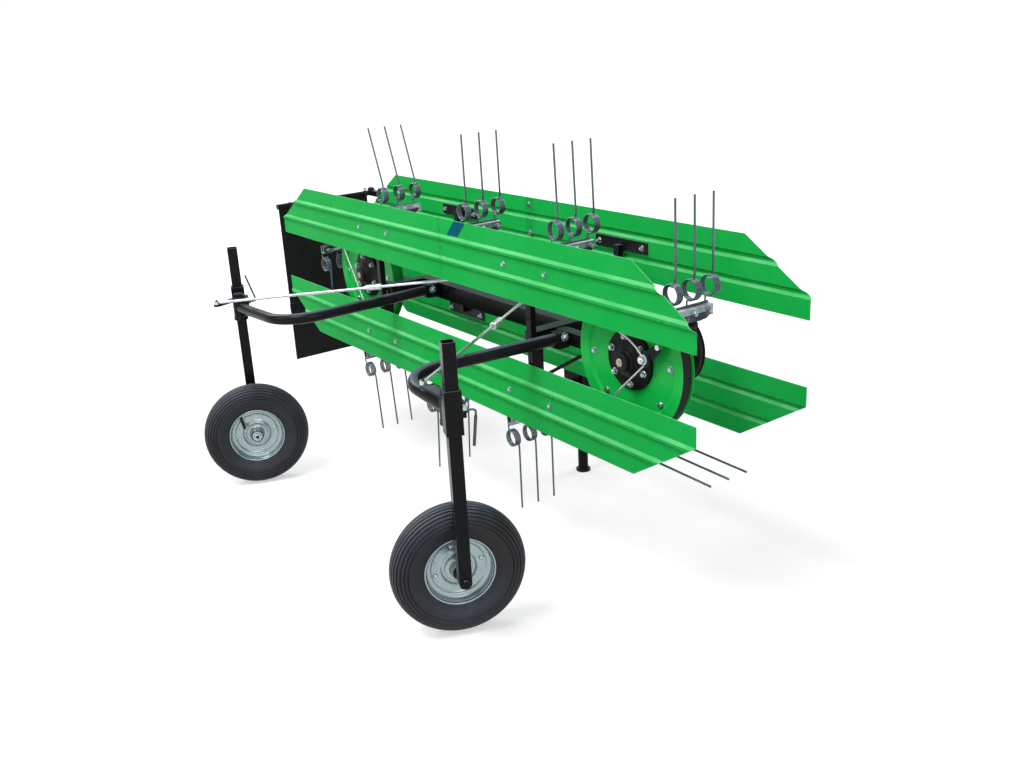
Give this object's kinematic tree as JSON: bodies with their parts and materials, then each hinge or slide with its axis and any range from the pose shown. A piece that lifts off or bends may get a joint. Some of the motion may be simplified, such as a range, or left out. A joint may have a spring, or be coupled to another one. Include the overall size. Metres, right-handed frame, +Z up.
{
  "type": "belt hay tedder",
  "caption": "Belt hay tedder for a two-wheel tractor: spring tines on an endless belt between ribbed sheet plates, on two steered castor wheels with a parking stand.",
  "frame": {"origin": "on the ground under the middle of the whole machine", "axes": "+X along the working width to the right end seen from the wheels' side, +Y towards the tractor, +Z up"},
  "size_m": [2.603, 1.3706, 1.393],
  "materials": {
    "green_paint": "glossy green enamel on ribbed sheet",
    "black_paint": "satin black enamel",
    "gearbox_paint": "satin black enamel on a casting",
    "zinc": "bright zinc plating",
    "spring_steel": "grey zinc-coated spring wire",
    "belt_rubber": "matt black rubber",
    "board_rubber": "smooth black rubber sheet",
    "tyre": "ribbed implement tyre with light dust"
  },
  "bodies": {
    "frame": {"front_upper_plate": "green_paint", "front_lower_plate": "green_paint", "rear_upper_plate": "green_paint", "rear_lower_plate": "green_paint", "main_rail": "black_paint", "cross_beams": "black_paint", "front_plate_posts": "black_paint", "rear_plate_posts": "black_paint", "left_belt_pulley": "green_paint", "right_belt_pulley": "green_paint", "pulley_hubs": "black_paint", "bearing_arms": "black_paint", "tine_belt": "belt_rubber", "tine_brackets": "zinc", "top_spring_tines": "spring_steel", "lower_spring_tines": "spring_steel", "end_spring_tines": "spring_steel", "drive_pulleys": "black_paint", "drive_belt": "belt_rubber", "gearbox": "gearbox_paint", "hitch_boom": "black_paint", "left_castor_arm": "black_paint", "right_castor_arm": "black_paint", "arm_brackets": "black_paint", "stand_sleeve": "black_paint", "board_carrier": "black_paint", "swath_board": "board_rubber", "board_stiffener": "black_paint"},
    "coupling": {"coupling_head": "black_paint", "steering_arm": "black_paint", "pto_dog": "spring_steel"},
    "left_castor": {"left_castor_sleeve": "black_paint", "left_clamp_handle": "spring_steel"},
    "right_castor": {"right_castor_sleeve": "black_paint", "right_clamp_handle": "spring_steel"},
    "left_leg": {"left_leg": "black_paint"},
    "right_leg": {"right_leg": "black_paint"},
    "left_wheel": {"left_tyre": "tyre", "left_rim": "zinc"},
    "right_wheel": {"right_tyre": "tyre", "right_rim": "zinc"},
    "left_rod": {"left_tie_rod": "zinc"},
    "right_rod": {"right_tie_rod": "zinc"},
    "stand": {"parking_stand": "black_paint"}
  },
  "joints": [
    {"name": "hitch_swivel", "type": "hinge", "parent": "frame", "child": "coupling", "pos_m": [0.1675, 0.57333, 0.405], "axis": [0, 0, 1], "range_deg": [-16, 16]},
    {"name": "left_castor_swivel", "type": "hinge", "parent": "frame", "child": "left_castor", "pos_m": [-0.7535, -0.47567, 0.7], "axis": [0, 0, 1], "range_deg": [-21.52, 21.52]},
    {"name": "right_castor_swivel", "type": "hinge", "parent": "frame", "child": "right_castor", "pos_m": [0.7585, -0.47567, 0.7], "axis": [0, 0, 1], "range_deg": [-15.45, 15.45]},
    {"name": "left_leg_height", "type": "slide", "parent": "left_castor", "child": "left_leg", "axis": [0, 0, 1], "range_m": [-0.1, 0.1]},
    {"name": "right_leg_height", "type": "slide", "parent": "right_castor", "child": "right_leg", "axis": [0, 0, 1], "range_m": [-0.1, 0.1]},
    {"name": "left_wheel_spin", "type": "hinge", "parent": "left_leg", "child": "left_wheel", "pos_m": [-0.72176, -0.48786, 0.207], "axis": [0.9336, -0.3584, 0], "continuous": true},
    {"name": "right_wheel_spin", "type": "hinge", "parent": "right_leg", "child": "right_wheel", "pos_m": [0.72676, -0.46349, 0.207], "axis": [0.9336, -0.3584, 0], "continuous": true},
    {"name": "left_rod_pivot", "type": "hinge", "parent": "coupling", "child": "left_rod", "pos_m": [0.1675, 0.37433, 0.87], "axis": [0, 0, 1], "range_deg": [-17.22, 17.22]},
    {"name": "right_rod_pivot", "type": "hinge", "parent": "coupling", "child": "right_rod", "pos_m": [0.1675, 0.37433, 0.87], "axis": [0, 0, 1], "range_deg": [-19.75, 19.75]},
    {"name": "stand_height", "type": "slide", "parent": "frame", "child": "stand", "axis": [0, 0, 1], "range_m": [0, 0.2]}
  ],
  "couplings": [
    {"joint": "left_castor_swivel", "follows": "hitch_swivel", "ratio": 1.3323},
    {"joint": "right_castor_swivel", "follows": "hitch_swivel", "ratio": 0.95295},
    {"joint": "left_rod_pivot", "follows": "hitch_swivel", "ratio": -1.0636},
    {"joint": "right_rod_pivot", "follows": "hitch_swivel", "ratio": -1.222}
  ]
}
